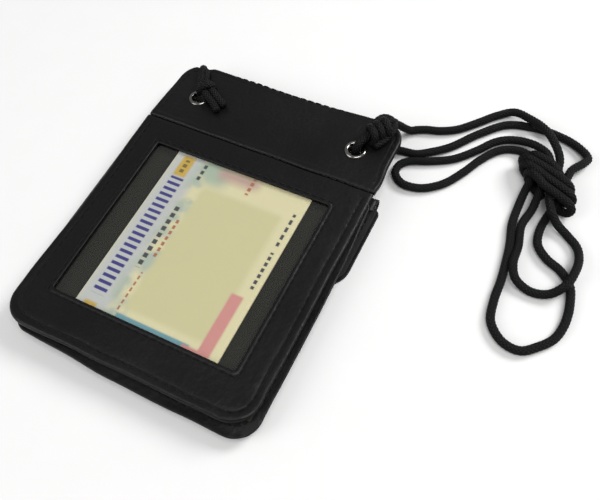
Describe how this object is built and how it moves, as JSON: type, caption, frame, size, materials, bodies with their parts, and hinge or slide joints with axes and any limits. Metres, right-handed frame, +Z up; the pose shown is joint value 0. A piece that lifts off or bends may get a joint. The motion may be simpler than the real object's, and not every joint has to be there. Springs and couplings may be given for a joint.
{
  "type": "neck pouch wallet",
  "caption": "Black leather neck wallet with a clear window leaf over a card, a rear pocket with a flap, and a braided neck cord tied into metal eyelets.",
  "frame": {"origin": "on the resting surface, under the middle of the seam between window and head panel", "axes": "+X to the right across the pouch, +Y towards the head panel with the eyelets, +Z up out of the window"},
  "size_m": [0.1671, 0.1531, 0.0186],
  "materials": {
    "black_leather": "smooth black leather with a soft sheen",
    "lining_leather": "thin matte black lining leather",
    "board": "grey stiffener board",
    "hook_tape": "black hook tape",
    "loop_tape": "black loop tape",
    "clear_film": "clear flexible film",
    "backing_cloth": "dark grey woven cloth",
    "nickel_plate": "polished nickel plate",
    "black_thread": "waxed black thread",
    "cord_braid": "black braided polyester cord",
    "card_plastic": "printed laminated card"
  },
  "bodies": {
    "pouch_back": {"back_panel": "black_leather", "back_stiffener": "board", "front_facing": "black_leather", "inner_slip_pocket": "lining_leather", "closure_hook_patch": "hook_tape", "spine_fold": "black_leather", "rear_pocket_panel": "black_leather", "rear_pocket_loop_patch": "loop_tape", "flap_fold": "black_leather", "body_edge_stitching": "black_thread"},
    "window_leaf": {"window_frame": "black_leather", "head_stiffener": "board", "eyelets": "nickel_plate", "eyelet_washers": "nickel_plate", "head_stitching": "black_thread", "seam_stitching": "black_thread", "cord_left_knot": "cord_braid", "cord_left_lead": "cord_braid", "cord_right_knot": "cord_braid", "cord_right_lead": "cord_braid", "window_film": "clear_film", "card_pocket_backing": "backing_cloth", "leaf_lining": "lining_leather", "closure_loop_patch": "loop_tape", "leaf_edge_stitching": "black_thread", "window_stitching": "black_thread"},
    "id_card": {"id_card": "card_plastic"},
    "rear_flap": {"flap_leather": "black_leather", "flap_lining": "lining_leather", "flap_hook_patch": "hook_tape", "flap_stitching": "black_thread"},
    "neck_cord": {"neck_cord": "cord_braid", "cord_bundle_wrap": "cord_braid"}
  },
  "joints": [
    {"name": "leaf_open", "type": "hinge", "parent": "pouch_back", "child": "window_leaf", "pos_m": [-0.047, -0.0455, 0.0069], "axis": [0, -1, 0], "range_deg": [0, 170]},
    {"name": "card_slide", "type": "slide", "parent": "window_leaf", "child": "id_card", "axis": [1, 0, 0], "range_m": [0, 0.075]},
    {"name": "flap_open", "type": "hinge", "parent": "pouch_back", "child": "rear_flap", "pos_m": [0, 0.0014, 0.0014], "axis": [1, 0, 0], "range_deg": [0, 150]},
    {"name": "cord_lift", "type": "hinge", "parent": "window_leaf", "child": "neck_cord", "pos_m": [0.048, 0.03, 0.00145], "axis": [0, -1, 0], "range_deg": [0, 90]}
  ]
}
